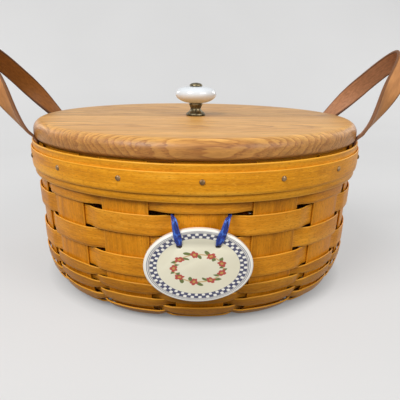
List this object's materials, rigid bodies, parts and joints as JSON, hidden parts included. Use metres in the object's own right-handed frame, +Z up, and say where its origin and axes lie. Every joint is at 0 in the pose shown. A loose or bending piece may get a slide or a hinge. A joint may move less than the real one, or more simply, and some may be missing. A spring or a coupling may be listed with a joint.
{
  "type": "darning basket",
  "caption": "Round woven splint basket with a lift-off wooden lid, porcelain knob, leather strap handles and an oval plaque tied to its front, for sewing and mending things.",
  "frame": {"origin": "middle of the base, on the surface that the basket stands on", "axes": "+Z up, the plaque on the -Y side, the strap handles at -X and +X"},
  "size_m": [0.334, 0.2515, 0.1705],
  "materials": {
    "splint_wood": "honey-stained maple splint, satin",
    "weaver_wood": "honey-stained maple splint, satin",
    "band_wood": "honey-stained maple strip, satin",
    "lid_wood": "oiled oak-like board",
    "strap_leather": "tan saddle leather",
    "tack_steel": "dull steel",
    "antique_brass": "darkened brass",
    "porcelain": "white glazed porcelain",
    "glazed_ceramic": "cream glazed ceramic",
    "satin_ribbon": "royal blue satin"
  },
  "bodies": {
    "basket": {"upright_splint_1": "splint_wood", "upright_splint_2": "splint_wood", "upright_splint_3": "splint_wood", "upright_splint_4": "splint_wood", "upright_splint_5": "splint_wood", "upright_splint_6": "splint_wood", "upright_splint_7": "splint_wood", "upright_splint_8": "splint_wood", "weaver_01": "weaver_wood", "weaver_02": "weaver_wood", "weaver_03": "weaver_wood", "weaver_04": "weaver_wood", "weaver_05": "weaver_wood", "weaver_06": "weaver_wood", "weaver_07": "weaver_wood", "weaver_08": "weaver_wood", "weaver_09": "weaver_wood", "weaver_10": "weaver_wood", "weaver_11": "weaver_wood", "weaver_12": "weaver_wood", "weaver_13": "weaver_wood", "weaver_14": "weaver_wood", "weaver_15": "weaver_wood", "inner_rim_band": "band_wood", "outer_rim_band": "band_wood", "trim_strip": "band_wood", "rim_tack_01": "tack_steel", "rim_tack_02": "tack_steel", "rim_tack_03": "tack_steel", "rim_tack_04": "tack_steel", "rim_tack_05": "tack_steel", "rim_tack_06": "tack_steel", "rim_tack_07": "tack_steel", "rim_tack_08": "tack_steel", "rim_tack_09": "tack_steel", "rim_tack_10": "tack_steel", "rim_tack_11": "tack_steel", "rim_tack_12": "tack_steel", "rim_tack_13": "tack_steel", "rim_tack_14": "tack_steel", "rim_tack_15": "tack_steel", "rim_tack_16": "tack_steel", "left_strap_tab_front": "strap_leather", "left_strap_tab_back": "strap_leather", "right_strap_tab_front": "strap_leather", "right_strap_tab_back": "strap_leather", "ribbon_back": "satin_ribbon"},
    "lid": {"lid_board_front": "lid_wood", "lid_board_middle": "lid_wood", "lid_board_back": "lid_wood", "knob_base": "antique_brass", "knob_body": "porcelain", "knob_screw": "antique_brass", "knob_washer": "tack_steel", "knob_nut": "tack_steel"},
    "left_handle": {"left_handle_strap": "strap_leather"},
    "right_handle": {"right_handle_strap": "strap_leather"},
    "plaque": {"plaque": "glazed_ceramic", "ribbon_left": "satin_ribbon", "ribbon_right": "satin_ribbon"}
  },
  "joints": [
    {"name": "lid_lift", "type": "slide", "parent": "basket", "child": "lid", "axis": [0, 0, 1], "range_m": [0, 0.12]},
    {"name": "left_handle_bend", "type": "hinge", "parent": "basket", "child": "left_handle", "pos_m": [-0.11754, 0, 0.11193], "axis": [0, -1, 0], "range_deg": [-22, 45], "stiffness_Nm_per_rad": 0.06},
    {"name": "right_handle_bend", "type": "hinge", "parent": "basket", "child": "right_handle", "pos_m": [0.11754, 0, 0.11193], "axis": [0, 1, 0], "range_deg": [-22, 45], "stiffness_Nm_per_rad": 0.06},
    {"name": "plaque_swing", "type": "hinge", "parent": "basket", "child": "plaque", "pos_m": [0, -0.12005, 0.0741], "axis": [-1, 0, 0], "range_deg": [0, 70]}
  ]
}
